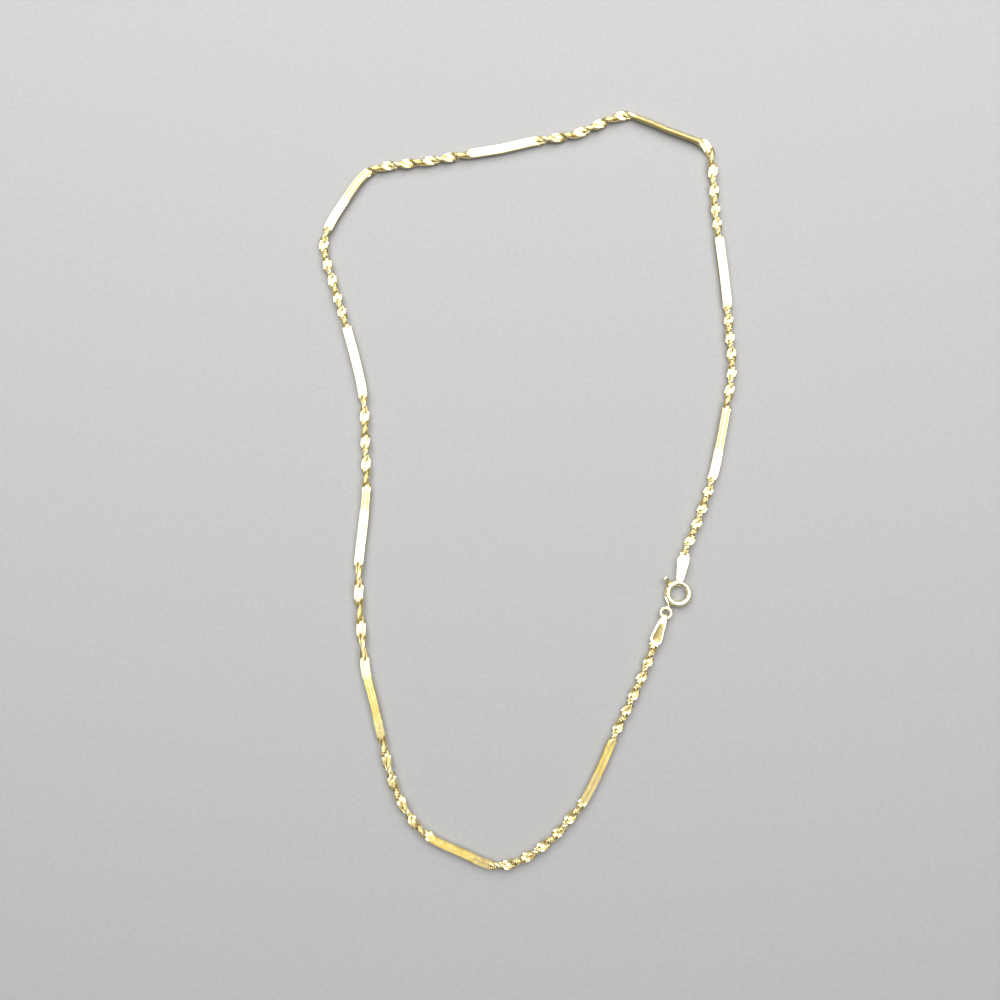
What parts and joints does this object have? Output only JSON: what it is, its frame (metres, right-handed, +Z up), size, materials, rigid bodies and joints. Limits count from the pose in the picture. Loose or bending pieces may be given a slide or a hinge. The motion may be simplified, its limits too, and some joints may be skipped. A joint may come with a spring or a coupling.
{
  "type": "chain necklace",
  "caption": "Closed chain necklace of a flat link band with alternating flat and twisted stretches, two end tabs and a spring ring clasp whose bolt slides back to open.",
  "frame": {"origin": "centre of the bounding box's underside, on the surface that the necklace lies on", "axes": "+Z up from the surface; +Y along the loop's longest extent, away from the viewer of the picture; +X to the right in it, towards the clasp's side"},
  "size_m": [0.1112, 0.1998, 0.0026],
  "materials": {
    "twisted_gold": "polished yellow gold, dense small links",
    "flat_gold": "mirror polished yellow gold, dense small links with flattened faces",
    "clasp_gold": "polished yellow gold, plain"
  },
  "bodies": {
    "necklace": {"end_tab_a": "clasp_gold", "twist_run_01": "twisted_gold", "flat_run_01": "flat_gold", "twist_run_02": "twisted_gold", "flat_run_02": "flat_gold", "twist_run_03": "twisted_gold", "flat_run_03": "flat_gold", "twist_run_04": "twisted_gold", "flat_run_04": "flat_gold", "twist_run_05": "twisted_gold", "flat_run_05": "flat_gold", "twist_run_06": "twisted_gold", "flat_run_06": "flat_gold", "twist_run_07": "twisted_gold", "flat_run_07": "flat_gold", "twist_run_08": "twisted_gold", "flat_run_08": "flat_gold", "twist_run_09": "twisted_gold", "flat_run_09": "flat_gold", "twist_run_10": "twisted_gold", "flat_run_10": "flat_gold", "twist_run_11": "twisted_gold", "end_tab_b": "clasp_gold", "spring_ring": "clasp_gold"},
    "bolt": {"ring_bolt": "clasp_gold"}
  },
  "joints": [
    {"name": "bolt_slide", "type": "hinge", "parent": "necklace", "child": "bolt", "pos_m": [0.03916, -0.03043, 0.00132], "axis": [0, 0, 1], "range_deg": [0, 48], "stiffness_Nm_per_rad": 0.001, "springref_deg": -17.19}
  ]
}
